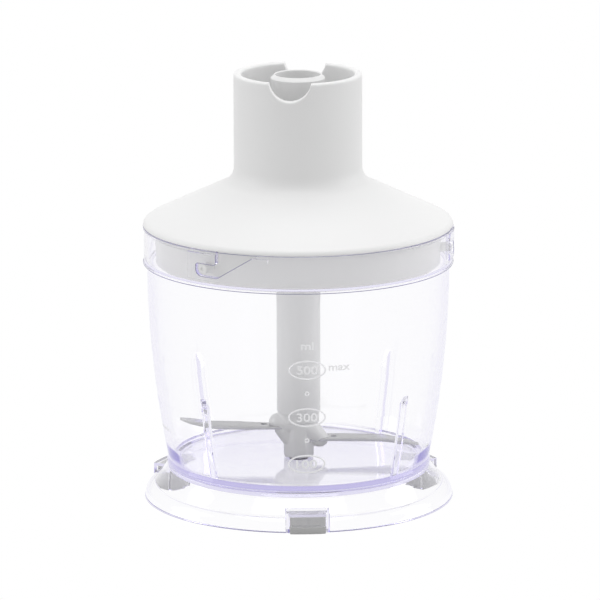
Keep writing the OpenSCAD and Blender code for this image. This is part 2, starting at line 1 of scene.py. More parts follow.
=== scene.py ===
# %% [markdown]
# # A chopper bowl for a stick blender
# A white lid with a motor collar stands on a clear bowl with measuring marks. A grey blade unit hangs
# from the lid, and the bowl stands on a clear anti-slip base with rubber feet.
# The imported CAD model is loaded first, and it says where every piece is. Each visible piece is then made
# again with the soft edges, fine grain and clear walls that a plain CAD solid lacks.

# %% Load the frame
import json
import math

import bmesh
import bpy
import numpy as np
from mathutils import Matrix, Quaternion, Vector


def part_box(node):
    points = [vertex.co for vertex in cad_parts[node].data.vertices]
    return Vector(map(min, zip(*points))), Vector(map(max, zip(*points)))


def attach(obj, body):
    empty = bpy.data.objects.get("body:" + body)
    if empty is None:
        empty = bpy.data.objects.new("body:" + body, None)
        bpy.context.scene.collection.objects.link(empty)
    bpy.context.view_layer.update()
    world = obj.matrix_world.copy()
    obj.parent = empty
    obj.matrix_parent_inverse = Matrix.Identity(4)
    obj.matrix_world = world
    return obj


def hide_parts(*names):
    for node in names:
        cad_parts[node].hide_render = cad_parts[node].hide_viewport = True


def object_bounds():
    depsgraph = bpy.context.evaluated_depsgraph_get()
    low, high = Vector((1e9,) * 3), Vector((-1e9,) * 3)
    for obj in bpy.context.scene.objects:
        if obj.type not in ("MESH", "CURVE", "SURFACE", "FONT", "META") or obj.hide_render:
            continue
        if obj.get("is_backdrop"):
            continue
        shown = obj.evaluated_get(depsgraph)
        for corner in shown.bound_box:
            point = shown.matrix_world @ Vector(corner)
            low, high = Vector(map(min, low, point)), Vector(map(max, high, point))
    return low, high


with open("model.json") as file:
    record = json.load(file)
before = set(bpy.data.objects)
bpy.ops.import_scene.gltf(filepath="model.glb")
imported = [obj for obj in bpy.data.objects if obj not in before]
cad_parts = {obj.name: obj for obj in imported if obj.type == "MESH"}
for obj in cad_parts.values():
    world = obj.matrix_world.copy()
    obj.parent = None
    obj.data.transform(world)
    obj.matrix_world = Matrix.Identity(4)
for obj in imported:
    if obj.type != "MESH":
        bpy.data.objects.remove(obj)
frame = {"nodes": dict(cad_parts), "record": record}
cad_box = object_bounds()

MM = 0.001

# %% [markdown]
# The camera stands far back with a long lens, so the round parts look nearly straight-sided. It looks
# down a little, which shows the open collar from above. It could be aimed with a Track To constraint,
# but a rotation worked out once is simpler and keeps the small roll.

# %% Camera
VIEW_DISTANCE = 2.459
VIEW_ELEVATION = math.radians(12.89)
VIEW_AZIMUTH = math.radians(-3.3)
VIEW_ROLL = math.radians(-0.142)
VIEW_HEIGHT = 0.0845
SIDE_SHIFT = 0.00273
LENS, SENSOR = 350.7, 36  # in millimetres, as on a real camera

camera_data = bpy.data.cameras.new("studio_camera")
camera_data.lens = LENS
camera_data.sensor_width = SENSOR
camera_data.shift_x = SIDE_SHIFT
camera_data.clip_end = 50
camera = bpy.data.objects.new("studio_camera", camera_data)
bpy.context.scene.collection.objects.link(camera)
towards_camera = Vector((
    math.sin(VIEW_AZIMUTH) * math.cos(VIEW_ELEVATION),
    -math.cos(VIEW_AZIMUTH) * math.cos(VIEW_ELEVATION),
    math.sin(VIEW_ELEVATION)))
camera.location = Vector((0, 0, VIEW_HEIGHT)) + towards_camera * VIEW_DISTANCE
camera.rotation_mode = "QUATERNION"
camera.rotation_quaternion = (
    (-towards_camera).to_track_quat("-Z", "Y") @ Quaternion((0, 0, 1), VIEW_ROLL))
bpy.context.scene.camera = camera
print("camera at", tuple(round(x, 3) for x in camera.location))

# %% [markdown]
# Node trees for shaders and for geometry are built in the same way: a node, then its settings, then its
# sockets. One function does that for both. A small class wraps a socket, so that sums of sockets are
# written as Python sums, which is far shorter than placing Math nodes by hand.


# %% One way to add any node
def add_node(tree, kind, settings=None, **sockets):
    """Adds a node. Settings come first, then each socket's value or link, with _ for a space in its name."""
    node = tree.nodes.new(kind)
    for name, value in (settings or {}).items():
        if name == "stops":
            while len(node.color_ramp.elements) < len(value):
                node.color_ramp.elements.new(0.5)
            for element, (place, shade) in zip(node.color_ramp.elements, value):
                element.position = place
                element.color = (*shade, 1) if hasattr(shade, "__len__") else (shade, shade, shade, 1)
        else:
            setattr(node, name, value)
    for name, value in sockets.items():
        label = name[1:] if name.startswith("n") and name[1:].isdigit() else name.replace("_", " ")
        socket = node.inputs[int(label)] if label.isdigit() else node.inputs[label]
        if isinstance(value, Value):
            tree.links.new(value.socket, socket)
        elif isinstance(value, bpy.types.NodeSocket):
            tree.links.new(value, socket)
        else:
            socket.default_value = value
    return node


class Value:
    """A number that comes out of a node. Sums with it add Math nodes to its tree."""

    def __init__(self, tree, socket):
        self.tree, self.socket = tree, socket

    def math(self, operation, *others, clamp=False):
        """A Math node on the given inputs."""
        sockets = {f"n{i}": other for i, other in enumerate(others)}
        node = add_node(self.tree, "ShaderNodeMath", {"operation": operation, "use_clamp": clamp}, **sockets)
        return Value(self.tree, node.outputs[0])

    def __add__(self, other):
        return self.math("ADD", self, other)

    __radd__ = __add__

    def __sub__(self, other):
        return self.math("SUBTRACT", self, other)

    def __rsub__(self, other):
        return self.math("SUBTRACT", other, self)

    def __mul__(self, other):
        return self.math("MULTIPLY", self, other)

    __rmul__ = __mul__

    def above(self, low, high):
        """0 below low, 1 above high, and a straight climb between them."""
        return self.math("MULTIPLY_ADD", self, 1 / (high - low), -low / (high - low), clamp=True)


print("node helpers ready")

# %% [markdown]
# The light is a plain white studio: a large soft panel overhead, a smaller one on each side, and an even
# fill from all round. White plastic then shows its form as soft greys, darkest where it faces the front.
# The world looks white to the camera and through clear plastic, nearly so in reflections, and gives less
# light than that to matt surfaces, so that they keep their shading.


# %% Studio light
def soft_panel(name, place, size, watts):
    """A square area light that points at the middle of the appliance."""
    light = bpy.data.lights.new(name, "AREA")
    light.shape = "RECTANGLE"
    light.size, light.size_y = size
    light.energy = watts
    panel = bpy.data.objects.new(name, light)
    panel.location = place
    panel.rotation_euler = (Vector((0, 0, 0.09)) - Vector(place)).to_track_quat("-Z", "Y").to_euler()
    panel.visible_camera = False
    bpy.context.scene.collection.objects.link(panel)
    return panel


soft_panel("top_panel", (0.0, 0.0, 1.5), (1.2, 1.2), 10.0)
soft_panel("left_panel", (-1.4, 0.2, 0.6), (0.8, 1.0), 3.0)
soft_panel("right_panel", (1.4, 0.2, 0.6), (0.8, 1.0), 4.0)

FILL = 0.52  # how bright the world is to matt surfaces
MIRROR = 0.90  # and to glossy ones
world = bpy.data.worlds.new("white_studio")
bpy.context.scene.world = world
world.use_nodes = True
air = world.node_tree
air.nodes.clear()
light_path = add_node(air, "ShaderNodeLightPath")
seen = Value(air, light_path.outputs["Is Camera Ray"])
seen = seen.math("MAXIMUM", seen, Value(air, light_path.outputs["Is Transmission Ray"]))
mirrored = Value(air, light_path.outputs["Is Glossy Ray"])
strength = FILL + seen * (1 - FILL) + mirrored * (MIRROR - FILL)
background = add_node(air, "ShaderNodeBackground", Color=(1, 1, 1, 1),
                      Strength=strength.math("MINIMUM", strength, 1.0))
add_node(air, "ShaderNodeOutputWorld", Surface=background.outputs[0])
bpy.context.scene.view_settings.view_transform = "Standard"

# %% [markdown]
# Every finish uses the same few bricks: fine noise for a moulded grain, broad noise for uneven gloss and
# colour, and a Bump node. They read Object coordinates, which are metres on every piece, so a grain of
# 0.3 mm is the same on the lid and on a foot.


# %% The bricks of a finish
class Finish:
    """A material with one Principled shader, and short ways to add patterns to it."""

    def __init__(self, name, **constants):
        self.material = bpy.data.materials.new(name)
        self.material.use_nodes = True
        self.tree = self.material.node_tree
        self.tree.nodes.clear()
        self.shader = add_node(self.tree, "ShaderNodeBsdfPrincipled", **constants)
        self.output = add_node(self.tree, "ShaderNodeOutputMaterial", Surface=self.shader.outputs[0])
        self.place = add_node(self.tree, "ShaderNodeTexCoord").outputs["Object"]

    def stretched(self, stretch, turn=0.0):
        """Object coordinates, turned about Z and then scaled along each axis."""
        turned = add_node(self.tree, "ShaderNodeMapping", Vector=self.place, Rotation=(0, 0, turn))
        return add_node(self.tree, "ShaderNodeMapping", Vector=turned.outputs[0], Scale=stretch).outputs[0]

    def noise(self, size, detail=2.0, place=None):
        """Noise from 0 to 1 whose lumps are about size metres across."""
        node = add_node(
            self.tree, "ShaderNodeTexNoise", Vector=place or self.place, Scale=1 / size, Detail=detail)
        return Value(self.tree, node.outputs[0])

    def cells(self, size):
        """Distance to the nearest of many scattered points, about size metres apart."""
        node = add_node(self.tree, "ShaderNodeTexVoronoi", Vector=self.place, Scale=1 / size)
        return Value(self.tree, node.outputs["Distance"])

    def tint(self, share, low, high):
        """A colour between low and high."""
        node = add_node(self.tree, "ShaderNodeMix", {"data_type": "RGBA"}, Factor=share, n6=(*low, 1),
                        n7=(*high, 1))
        return node.outputs[2]

    def bump(self, height, depth):
        """Relief of depth metres, where height goes from 0 to 1."""
        node = add_node(self.tree, "ShaderNodeBump", Strength=1.0, Distance=depth, Height=height)
        self.tree.links.new(node.outputs[0], self.shader.inputs["Normal"])

    def feed(self, socket, value):
        """Links a value or a colour to one of the shader's sockets."""
        source = value.socket if isinstance(value, Value) else value
        self.tree.links.new(source, self.shader.inputs[socket])


print("finish bricks ready")

# %% [markdown]
# Moulded plastic has a fine eroded grain from the steel mould, a gloss that is a little uneven, and a
# colour that drifts by a percent or so. The same recipe makes the white shell, the skirt, the grey
# column and the inner parts, each with its own colour, gloss and grain.


# %% Moulded plastics and rubber
def moulded(name, colour, gloss, grain, depth, drift=0.02, **constants):
    """Opaque plastic: gloss is its roughness, grain the size of its texture and depth its relief."""
    finish = Finish(name, **constants)
    broad = finish.noise(0.03, 3.0)
    fine = finish.noise(grain, 3.0)
    darker = tuple(c * (1 - drift) for c in colour)
    finish.feed("Base Color", finish.tint(broad * 0.7 + fine * 0.3, darker, colour))
    finish.feed("Roughness", broad * 0.08 + fine * 0.06 + (gloss - 0.07))
    finish.bump(fine, depth)
    return finish.material


white_shell = moulded("white_shell", (0.90, 0.90, 0.90), 0.42, 0.0005, 0.00003, IOR=1.5)
white_skirt = moulded("white_skirt", (0.95, 0.95, 0.95), 0.36, 0.0007, 0.00002, IOR=1.5)
grey_column = moulded("grey_column", (0.95, 0.95, 0.95), 0.38, 0.0006, 0.00002, IOR=1.5)
grey_hub = moulded("grey_hub", (0.93, 0.93, 0.93), 0.34, 0.0006, 0.00003, IOR=1.5)
grey_rubber = moulded("grey_rubber", (0.56, 0.56, 0.56), 0.62, 0.0004, 0.00006, 0.08, IOR=1.5)
seal_rubber = moulded("seal_rubber", (0.10, 0.10, 0.10), 0.60, 0.0005, 0.00005, 0.1, IOR=1.5)
gear_plastic = moulded("gear_plastic", (0.80, 0.77, 0.68), 0.40, 0.0006, 0.00002, 0.04, IOR=1.53)
inner_plastic = moulded("inner_plastic", (0.62, 0.62, 0.62), 0.45, 0.0006, 0.00003, 0.04, IOR=1.5)
print("plastics:", len(bpy.data.materials))

# %% [markdown]
# Stamped steel is brushed along the blade, so its scratches are noise stretched along one axis. Shafts
# are ground all round, and a sintered bronze bush is dull and speckled with oil pores.


# %% Metals
def brushed(name, colour, gloss, stretch, line, turn=0.0):
    """Steel with fine scratches along one axis: line is their width."""
    finish = Finish(name, Metallic=1.0)
    scratches = finish.noise(1.0, 4.0, finish.stretched(tuple(s / line for s in stretch), turn))
    patches = finish.noise(0.008, 2.0)
    worn = tuple(c * 0.86 for c in colour)
    finish.feed("Base Color", finish.tint(scratches * 0.6 + patches * 0.4, worn, colour))
    finish.feed("Roughness", scratches * 0.16 + patches * 0.08 + (gloss - 0.12))
    finish.bump(scratches, 0.000012)
    return finish.material


def sintered(name, colour):
    """Porous bronze with dark oil pores."""
    finish = Finish(name, Metallic=1.0)
    pores = finish.cells(0.0006).above(0.15, 0.4)
    finish.feed("Base Color", finish.tint(pores, tuple(c * 0.55 for c in colour), colour))
    finish.feed("Roughness", 0.62 - pores * 0.2)
    finish.bump(pores, 0.00003)
    return finish.material


steel_blade = brushed("steel_blade", (0.52, 0.52, 0.52), 0.32, (0.04, 1, 1), 0.0003)
steel_shaft = brushed("steel_shaft", (0.70, 0.70, 0.71), 0.28, (1, 1, 0.08), 0.0003)
bronze_bush = sintered("bronze_bush", (0.60, 0.42, 0.22))
print("metals ready")

# %% [markdown]
# The clear parts are a styrene plastic. Light that runs a long way inside a wall turns lavender, so the
# edges and the thick foot look violet while a plain wall looks clear. Volume absorption gives exactly
# that, because it depends on the length of the way through. Lamps could not shine through glass in a
# path tracer without much noise, so shadow rays and rays from matt surfaces pass a Transparent shader
# instead. A ray that is caught inside a wall would end black when its bounces run out. So after two
# reflections it goes straight on, and each wall that it still meets tints it violet.


# %% Clear plastic
PLASTIC_IOR = 1.52
LATE_MIRROR = 2  # reflections after which a ray goes straight on
LATE_BOUNCE = 9  # bounces of any kind after which it does
LATE_TINT = (0.86, 0.845, 0.945)


def clear_plastic(name, ripple, absorb, density):
    """Clear moulded plastic: ripple is the depth of its flow lines, absorb the colour that it keeps."""
    finish = Finish(name, Base_Color=(1, 1, 1, 1), IOR=PLASTIC_IOR, Transmission_Weight=1.0)
    flow = finish.noise(0.02, 2.0)
    haze = finish.noise(0.0012, 2.0)
    finish.feed("Roughness", flow * 0.02 + haze * 0.01)
    finish.bump(flow, ripple)
    through = add_node(finish.tree, "ShaderNodeBsdfTransparent", Color=(1, 1, 1, 1))
    violet = add_node(finish.tree, "ShaderNodeBsdfTransparent", Color=(*LATE_TINT, 1))
    path = add_node(finish.tree, "ShaderNodeLightPath").outputs
    turns = Value(finish.tree, path["Glossy Depth"])
    late = turns.math("GREATER_THAN", turns, LATE_MIRROR - 0.5)
    deep = turns.math("GREATER_THAN", path["Ray Depth"], LATE_BOUNCE - 0.5)
    late = late.math("MAXIMUM", late, deep)
    plain = late.math("MAXIMUM", path["Is Diffuse Ray"], path["Is Shadow Ray"])
    bent = add_node(finish.tree, "ShaderNodeMixShader", n0=late, n1=finish.shader.outputs[0],
                    n2=violet.outputs[0])
    mix = add_node(finish.tree, "ShaderNodeMixShader", n0=plain, n1=bent.outputs[0], n2=through.outputs[0])
    finish.tree.links.new(mix.outputs[0], finish.output.inputs["Surface"])
    inside = add_node(finish.tree, "ShaderNodeVolumeAbsorption", Color=(*absorb, 1), Density=density)
    finish.tree.links.new(inside.outputs[0], finish.output.inputs["Volume"])
    return finish.material


clear_bowl = clear_plastic("clear_bowl", 0.00003, (0.30, 0.24, 0.74), 7.5)
clear_base = clear_plastic("clear_base", 0.00004, (0.36, 0.30, 0.76), 14.0)

# Painted glow: an emission on the marks that lightens them, though they give no light of their own.
PAINTED_MARK_GLOW = 0.11


def frosted_painted_glow(name, colour):
    """The raised marks: the same plastic left matt by the mould, with a faint painted glow, an emission that
    stands in for light piped up to it.
    """
    finish = Finish(name, IOR=PLASTIC_IOR, Transmission_Weight=0.15, Emission_Strength=PAINTED_MARK_GLOW)
    finish.shader.inputs["Emission Color"].default_value = (*colour, 1)
    grain = finish.noise(0.0003, 2.0)
    finish.feed("Base Color", finish.tint(grain, tuple(c * 0.95 for c in colour), colour))
    finish.feed("Roughness", grain * 0.15 + 0.15)
    finish.bump(grain, 0.00002)
    return finish.material


def painted_edge_finish(name, colour):
    """Painted violet shade, standing in for the violet that light turns to along an edge."""
    finish = Finish(name, IOR=PLASTIC_IOR, Transmission_Weight=0.3)
    drift = finish.noise(0.01, 3.0)
    finish.feed("Base Color", finish.tint(drift, tuple(c * 0.75 for c in colour), colour))
    finish.feed("Roughness", drift * 0.1 + 0.15)
    finish.bump(drift, 0.00001)
    return finish.material


# Painted shade: violet plastic for beads that stand in for the violet look of lit clear edges.
clear_edge = painted_edge_finish("clear_edge", (0.36, 0.34, 0.60))
clear_mark = frosted_painted_glow("clear_mark", (0.96, 0.96, 0.97))
print("clear plastics ready")

# %% [markdown]
# Most parts here are turned shapes. Each one's outline is read off its CAD solid by cutting it with a
# half plane through the axis, so no size is written twice. Typing the outlines again would be shorter, but
# they would go wrong as soon as a size of the CAD model changed.


# %% Outlines read off the CAD solids
WELD = 2e-6  # corners closer than this, in metres, are one


def cad_points(node):
    """The corners of a CAD node, as an array of x, y, z in metres."""
    return np.array([v.co for v in frame["nodes"][node].data.vertices])


def merged(node, turn=0.0):
    """A welded copy of a CAD node as a bmesh, turned about Z."""
    bm = bmesh.new()
    bm.from_mesh(frame["nodes"][node].data)
    bmesh.ops.remove_doubles(bm, verts=bm.verts, dist=WELD)
    bm.transform(Matrix.Rotation(turn, 4, "Z"))
    return bm


def cut(bm, normal):
    """Takes away what lies behind a plane through the origin."""
    geometry = bm.verts[:] + bm.edges[:] + bm.faces[:]
    bmesh.ops.bisect_plane(bm, geom=geometry, dist=1e-7, plane_co=(0, 0, 0), plane_no=normal,
                           clear_inner=True)


def outline(node, angle):
    """The (radius, height) outline of a turned CAD node, cut at an angle in degrees from +X, in order."""
    bm = merged(node, -math.radians(angle))
    cut(bm, (1, 0, 0))
    cut(bm, (0, 1, 0))
    flat = [v for v in bm.verts if abs(v.co.y) < 2e-7]
    links = {v: [e.other_vert(v) for e in v.link_edges if abs(e.other_vert(v).co.y) < 2e-7 and e.is_boundary]
             for v in flat}
    ends = [v for v in flat if len(links[v]) == 1]
    closed = not ends
    here = ends[0] if ends else max(flat, key=lambda v: v.co.x)
    chain, before = [here], None
    while True:
        ways = [v for v in links[here] if v is not before and (v not in chain or (closed and v is chain[0]))]
        if not ways or ways[0] is chain[0]:
            break
        before, here = here, ways[0]
        chain.append(here)
    line = [Vector((max(v.co.x, 0.0), v.co.z)) for v in chain]
    bm.free()
    kept = []
    for i, p in enumerate(line):
        if not closed and i in (0, len(line) - 1):
            kept.append(p)
            continue
        a, b = p - line[i - 1], line[(i + 1) % len(line)] - p
        if a.length > 1e-6 and b.length > 1e-6 and a.angle(b) > math.radians(0.4):
            kept.append(p)
    return kept, closed


print("lid outline has", len(outline("lid_cover", 0)[0]), "corners")

# %% [markdown]
# A moulding has no perfectly sharp corner, and its rounded edges catch thin highlights. Each sharp corner
# of an outline becomes a small curve that touches both sides, and long stretches get more points. That
# is lighter than a Bevel modifier on the finished mesh, and no edge of a turned part can be missed.


# %% Rounded corners for an outline
def soften(line, closed, radius, longest=0.002):
    """Rounds the corners of an outline that turn sharply, and adds points to its long stretches."""
    rounded = []
    for i, p in enumerate(line):
        a, b = line[i - 1] - p, line[(i + 1) % len(line)] - p
        if (not closed and i in (0, len(line) - 1)) or a.angle(-b) < math.radians(14):
            rounded.append(p)
            continue
        turn = a.angle(-b)
        reach = min(radius * math.tan(turn / 2), 0.45 * a.length, 0.45 * b.length)
        start, end = p + a.normalized() * reach, p + b.normalized() * reach
        for k in range(5):
            t = k / 4
            rounded.append(start * (1 - t) ** 2 + p * (2 * t * (1 - t)) + end * t ** 2)
    dense = []
    count = len(rounded) if closed else len(rounded) - 1
    for i in range(count):
        p, q = rounded[i], rounded[(i + 1) % len(rounded)]
        steps = max(1, math.ceil((q - p).length / longest))
        dense += [p.lerp(q, k / steps) for k in range(steps)]
    if not closed:
        dense.append(rounded[-1])
    return dense


print("softened, it has", len(soften(*outline("lid_cover", 0), 0.6 * MM)), "points")

# %% [markdown]
# Turned parts follow one rule, so Geometry Nodes make them: the outline is swept round a small circle on
# the axis. Curve to Mesh puts an outline's X along the circle's normal and its Y downwards, so the
# outline is stored in that way. The result is made a plain mesh, and its seam and poles are welded.


# %% Geometry Nodes: a turned part
def new_tree(name, inputs):
    """A geometry tree with a Geometry input and output, and named number or material inputs."""
    tree = bpy.data.node_groups.new(name, "GeometryNodeTree")
    tree.interface.new_socket("Geometry", in_out="INPUT", socket_type="NodeSocketGeometry")
    for label, kind in inputs.items():
        tree.interface.new_socket(label, in_out="INPUT", socket_type=kind)
    tree.interface.new_socket("Geometry", in_out="OUTPUT", socket_type="NodeSocketGeometry")
    start = tree.nodes.new("NodeGroupInput")
    return tree, start.outputs


def end_tree(tree, geometry, material):
    """Every tree ends in plain geometry with its material set."""
    plain = add_node(tree, "GeometryNodeRealizeInstances", Geometry=geometry).outputs[0]
    painted = add_node(tree, "GeometryNodeSetMaterial", Geometry=plain, Material=material).outputs[0]
    add_node(tree, "NodeGroupOutput", Geometry=painted)


AXIS_R = 1 * MM
turned_tree, given = new_tree("turned_part", {"Segments": "NodeSocketInt", "Material": "NodeSocketMaterial"})
circle = add_node(turned_tree, "GeometryNodeCurvePrimitiveCircle", Resolution=given["Segments"],
                  Radius=AXIS_R)
upright = add_node(turned_tree, "GeometryNodeSetCurveNormal", {"mode": "Z_UP"}, Curve=circle.outputs[0])
outline_curve = add_node(turned_tree, "GeometryNodeMeshToCurve", Mesh=given["Geometry"])
swept = add_node(turned_tree, "GeometryNodeCurveToMesh", Curve=upright.outputs[0],
                 Profile_Curve=outline_curve.outputs[0])
end_tree(turned_tree, swept.outputs[0], given["Material"])


def grown(name, source, tree, **inputs):
    """Runs a geometry tree on a mesh and returns the result as a plain mesh."""
    carrier = bpy.data.objects.new(name, source)
    bpy.context.scene.collection.objects.link(carrier)
    modifier = carrier.modifiers.new(tree.name, "NODES")
    modifier.node_group = tree
    for item in tree.interface.items_tree:
        if item.in_out == "INPUT" and item.name in inputs:
            modifier[item.identifier] = inputs[item.name]
    view = bpy.context.evaluated_depsgraph_get()
    mesh = bpy.data.meshes.new_from_object(carrier.evaluated_get(view), depsgraph=view)
    carrier.modifiers.remove(modifier)
    bpy.data.objects.remove(carrier)
    return mesh


print("turned_part has", len(turned_tree.nodes), "nodes")

# %% [markdown]
# Every piece ends as one closed mesh: its seam is welded, its faces point outwards, and only its true
# edges stay sharp. The last function here puts it in the scene, on the body that it moves with.


# %% Closed meshes and pieces
def closed_mesh(mesh, smooth_below=math.radians(35)):
    """Welds a closed mesh, points its faces outwards and keeps only its sharp edges sharp."""
    bm = bmesh.new()
    bm.from_mesh(mesh)
    bmesh.ops.remove_doubles(bm, verts=bm.verts, dist=WELD)
    bmesh.ops.recalc_face_normals(bm, faces=bm.faces)
    for face in bm.faces:
        face.smooth = True
    for edge in bm.edges:
        edge.smooth = len(edge.link_faces) == 2 and edge.calc_face_angle(0) < smooth_below
    bm.to_mesh(mesh)
    bm.free()
    return mesh


def turned(name, line, closed, material, segments=256):
    """A turned part as a closed mesh, from its (radius, height) outline."""
    path = bpy.data.meshes.new(name + "_outline")
    corners = [(p.x - AXIS_R, -p.y, 0.0) for p in line]
    edges = [(i, i + 1) for i in range(len(line) - 1)] + ([(len(line) - 1, 0)] if closed else [])
    path.from_pydata(corners, edges, [])
    return closed_mesh(grown(name, path, turned_tree, Segments=segments, Material=material))


def of_one(mesh, material):
    """Gives a mesh one material and returns it."""
    mesh.materials.clear()
    mesh.materials.append(material)
    return mesh


def piece(name, mesh, body, slot, *nodes):
    """Puts a finished mesh in the scene: it rides on a body and stands for its CAD nodes."""
    made = bpy.data.objects.new(name, mesh)
    bpy.context.scene.collection.objects.link(made)
    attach(made, body)
    if nodes:
        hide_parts(*nodes)
    print(f"{name}: {len(mesh.polygons)} faces on {body}")
    return made


print("piece helpers ready")

# %% [markdown]
# The lid is one turned shell: a rounded edge, a shallow cone, a fillet and the motor collar. Two half
# round notches in the collar's lip let the motor unit's button through. A boolean would leave ragged
# little faces at the lip, so the notches are pressed in instead: each point near the top is lowered by
# as much as the notch is deep there, and the rounded lip goes down with it.

# %% The lid
lid_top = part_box("lid_cover")[1].z
LID_TURN = math.radians(-11)  # the lid's front notch from the bowl's front
NOTCH_R = 8.9 * MM
NOTCH_UP = 1.5 * MM  # the notch's centre above the collar
LIP = 1.3 * MM
PRESS_DEPTH = 7 * MM  # how far below the notch the wall gives way
line, closed = outline("lid_cover", 0)
lid_mesh = turned("lid_dome", soften(line, closed, 0.6 * MM, 1.5 * MM), closed, white_shell, 384)
lid_points = cad_points("lid_cover")
lip_points = lid_points[lid_points[:, 2] > lid_top - 1 * MM]
collar_r = np.hypot(lip_points[:, 0], lip_points[:, 1]).max()
press_foot = lid_top + NOTCH_UP - NOTCH_R - PRESS_DEPTH
for v in lid_mesh.vertices:
    if v.co.z < press_foot or v.co.xy.length > collar_r + 0.2 * MM:
        continue
    across = v.co.x * math.cos(LID_TURN) + v.co.y * math.sin(LID_TURN)
    if abs(across) >= NOTCH_R:
        continue
    depth = max(0.0, math.sqrt(NOTCH_R ** 2 - across ** 2) - NOTCH_UP)
    share = min(1.0, (v.co.z - press_foot) / (lid_top - LIP - press_foot))
    v.co.z -= depth * share
piece("lid_dome", closed_mesh(lid_mesh, math.radians(60)), "lid", "white_shell", "lid_cover")

# %% [markdown]
# Pieces with pins, pockets or flats are not purely turned. A welded copy of the CAD solid is taken for
# those, its flat faces are joined into whole ones, and a narrow bevel breaks every sharp edge, as a
# mould does. Without the bevel no edge would catch the light.


# %% Softened copies of CAD solids
def applied(name, mesh, add_modifiers):
    """The mesh with modifiers applied. add_modifiers puts them on the object it is given."""
    carrier = bpy.data.objects.new(name, mesh)
    bpy.context.scene.collection.objects.link(carrier)
    add_modifiers(carrier)
    view = bpy.context.evaluated_depsgraph_get()
    made = bpy.data.meshes.new_from_object(carrier.evaluated_get(view), depsgraph=view)
    bpy.data.objects.remove(carrier)
    return made


def bevelled(name, mesh, width):
    """Breaks the sharp edges of a closed mesh."""
    def add(carrier):
        bevel = carrier.modifiers.new("broken_edges", "BEVEL")
        bevel.width = width
        bevel.segments = 2
        bevel.limit_method = "ANGLE"
        bevel.angle_limit = math.radians(40)
        bevel.use_clamp_overlap = True
    return applied(name, mesh, add)


def softened(node, material, width):
    """A welded copy of a CAD node with broken edges."""
    bm = merged(node)
    bmesh.ops.dissolve_limit(bm, angle_limit=math.radians(0.3), verts=bm.verts, edges=bm.edges)
    mesh = bpy.data.meshes.new(node + "_soft")
    bm.to_mesh(mesh)
    bm.free()
    return closed_mesh(of_one(bevelled(node, mesh, width), material), math.radians(40))


piece("skirt_shell", softened("lid_skirt", white_skirt, 0.25 * MM), "lid", "white_skirt", "lid_skirt")
line, closed = outline("hub_tube", 0)
piece("socket_tube", turned("socket_tube", soften(line, closed, 0.4 * MM), closed, white_shell, 192),
      "lid", "white_shell", "hub_tube")
piece("column_tube", softened("blade_column", grey_column, 0.4 * MM), "rotor", "grey_column",
      "blade_column")
piece("blade_upper", softened("upper_blade", steel_blade, 0.1 * MM), "rotor", "steel_blade", "upper_blade")
piece("blade_lower", softened("lower_blade", steel_blade, 0.1 * MM), "rotor", "steel_blade", "lower_blade")
piece("foot_pads", softened("rubber_feet", grey_rubber, 0.5 * MM), "base", "grey_rubber", "rubber_feet")

# %% [markdown]
# The bowl and the base are turned shells with a few features that break the turn: ribs, bayonet tracks
# and the pockets for the feet. Each feature is a small closed solid, and exact booleans add or cut it.
# The turned wall keeps its many even steps this way, which clear plastic needs to bend light cleanly.


# %% Adding and cutting solids
def prism(flat, low, high, place):
    """A closed prism: a flat outline of (x, y) corners, pulled from low to high along Z, then placed."""
    bm = bmesh.new()
    rings = [[bm.verts.new(place @ Vector((x, y, z))) for x, y in flat] for z in (low, high)]
    count = len(flat)
    bm.faces.new(rings[0])
    bm.faces.new(rings[1])
    for i in range(count):
        j = (i + 1) % count
        bm.faces.new((rings[0][i], rings[0][j], rings[1][j], rings[1][i]))
    bmesh.ops.recalc_face_normals(bm, faces=bm.faces)
    return bm


def as_mesh(name, *solids):
    """One mesh from several bmeshes, which it frees."""
    whole = bmesh.new()
    for solid in solids:
        part = bpy.data.meshes.new(name + "_part")
        solid.to_mesh(part)
        solid.free()
        whole.from_mesh(part)
        bpy.data.meshes.remove(part)
    mesh = bpy.data.meshes.new(name)
    whole.to_mesh(mesh)
    whole.free()
    return mesh


def combined(name, mesh, operation, other):
    """The exact UNION, DIFFERENCE or INTERSECT of two closed meshes."""
    tool = bpy.data.objects.new(name + "_tool", other)
    bpy.context.scene.collection.objects.link(tool)

    def add(carrier):
        step = carrier.modifiers.new(operation.lower(), "BOOLEAN")
        step.operation = operation
        step.solver = "EXACT"
        step.object = tool
    made = applied(name, mesh, add)
    bpy.data.objects.remove(tool)
    return made


def turned_to(degrees):
    """A turn about Z from the front, which is -Y."""
    return Matrix.Rotation(math.radians(degrees), 4, "Z")


print("solid helpers ready")

# %% [markdown]
# The blade hub is a soft organic lump on the real thing: two wings swell out of an eight-sided stem and
# hold the blades' roots, the left one high and the right one low. Overlapping balls and the stem are
# drawn over with an even skin of small squares, and the skin is relaxed, so that the wings flow into the
# stem. Then the bore for the bush and the pin is cut through.


# %% Hub
def ball(centre, reach):
    """A closed ball with its own reach along each axis."""
    bm = bmesh.new()
    place = Matrix.Translation(Vector(centre) * MM) @ Matrix.Diagonal((*(Vector(reach) * MM), 1))
    bmesh.ops.create_uvsphere(bm, u_segments=32, v_segments=20, radius=1, matrix=place)
    return bm


def swell(start, start_reach, end, end_reach, count=6):
    """Balls in a row that change evenly from the first to the last."""
    rows = []
    for k in range(count):
        t = k / (count - 1)
        rows.append(ball(Vector(start).lerp(Vector(end), t), Vector(start_reach).lerp(Vector(end_reach), t)))
    return rows


hub_low, hub_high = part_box("blade_hub")
hub_points = cad_points("blade_hub")
bore_r = float(np.hypot(hub_points[:, 0], hub_points[:, 1]).min())
STEM_HALF = 6.2 * MM  # from the axis to a flat of the stem
DISC_W, DISC_D = 8.7 * MM, 7.2 * MM  # half the oval disc under the column


def ring_points(wide, deep, count, first=0.0):
    """Points round an oval of half sizes wide and deep, from the angle first in degrees."""
    return [(wide * math.cos(a), deep * math.sin(a))
            for a in math.radians(first) + np.linspace(0, 2 * math.pi, count + 1)[:-1]]


